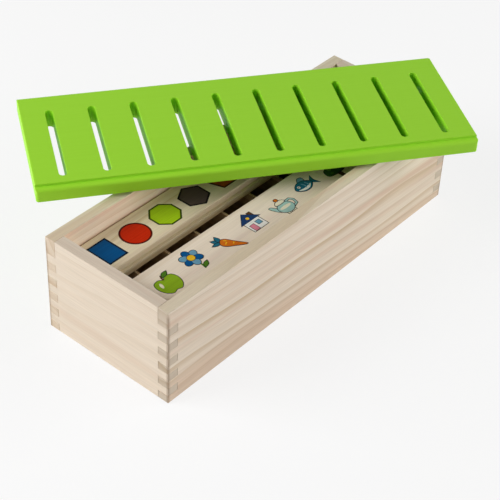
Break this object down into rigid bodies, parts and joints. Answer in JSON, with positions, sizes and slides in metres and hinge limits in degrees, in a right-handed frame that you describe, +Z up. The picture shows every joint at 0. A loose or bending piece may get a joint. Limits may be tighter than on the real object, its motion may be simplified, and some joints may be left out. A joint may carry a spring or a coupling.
{
  "type": "sorting box",
  "caption": "Long finger-jointed wooden box with a row of compartments, loose printed category boards on the dividers, and a slotted lid that lets flat counters drop into each compartment.",
  "frame": {"origin": "centre of the box's underside, on the base panel", "axes": "+X along the box's length, +Y towards the back wall, +Z up"},
  "size_m": [0.3851, 0.3108, 0.1063],
  "materials": {
    "wall_wood": "pale bare wood, sanded, with straight pinkish grain",
    "plywood": "bare thin plywood",
    "board_wood": "bare wood with flat coloured prints",
    "lid_paint": "satin lime-green paint on wood"
  },
  "bodies": {
    "box": {"front_wall": "wall_wood", "back_wall": "wall_wood", "left_end_wall": "wall_wood", "right_end_wall": "wall_wood", "base_panel": "plywood", "divider_1": "plywood", "divider_2": "plywood", "divider_3": "plywood", "divider_4": "plywood", "divider_5": "plywood", "divider_6": "plywood", "divider_7": "plywood", "divider_8": "plywood", "divider_9": "plywood"},
    "lid": {"lid_panel": "lid_paint"},
    "upper_back": {"shape_board": "board_wood"},
    "lower_back": {"lower_back_board": "board_wood"},
    "upper_front": {"picture_board": "board_wood"},
    "middle_front": {"middle_front_board": "board_wood"},
    "lower_front": {"lower_front_board": "board_wood"}
  },
  "joints": [
    {"name": "lid_lift", "type": "slide", "parent": "box", "child": "lid", "axis": [0, 0, 1], "range_m": [0, 0.25]},
    {"name": "shape_board_lift", "type": "slide", "parent": "box", "child": "upper_back", "axis": [0, 0, 1], "range_m": [0, 0.15]},
    {"name": "lower_back_board_lift", "type": "slide", "parent": "box", "child": "lower_back", "axis": [0, 0, 1], "range_m": [0, 0.09]},
    {"name": "picture_board_lift", "type": "slide", "parent": "box", "child": "upper_front", "axis": [0, 0, 1], "range_m": [0, 0.15]},
    {"name": "middle_front_board_lift", "type": "slide", "parent": "box", "child": "middle_front", "axis": [0, 0, 1], "range_m": [0, 0.105]},
    {"name": "lower_front_board_lift", "type": "slide", "parent": "box", "child": "lower_front", "axis": [0, 0, 1], "range_m": [0, 0.06]}
  ],
  "couplings": [
    {"joint": "shape_board_lift", "follows": "lid_lift", "ratio": 0.6},
    {"joint": "lower_back_board_lift", "follows": "lid_lift", "ratio": 0.36},
    {"joint": "picture_board_lift", "follows": "lid_lift", "ratio": 0.6},
    {"joint": "middle_front_board_lift", "follows": "lid_lift", "ratio": 0.42},
    {"joint": "lower_front_board_lift", "follows": "lid_lift", "ratio": 0.24}
  ]
}
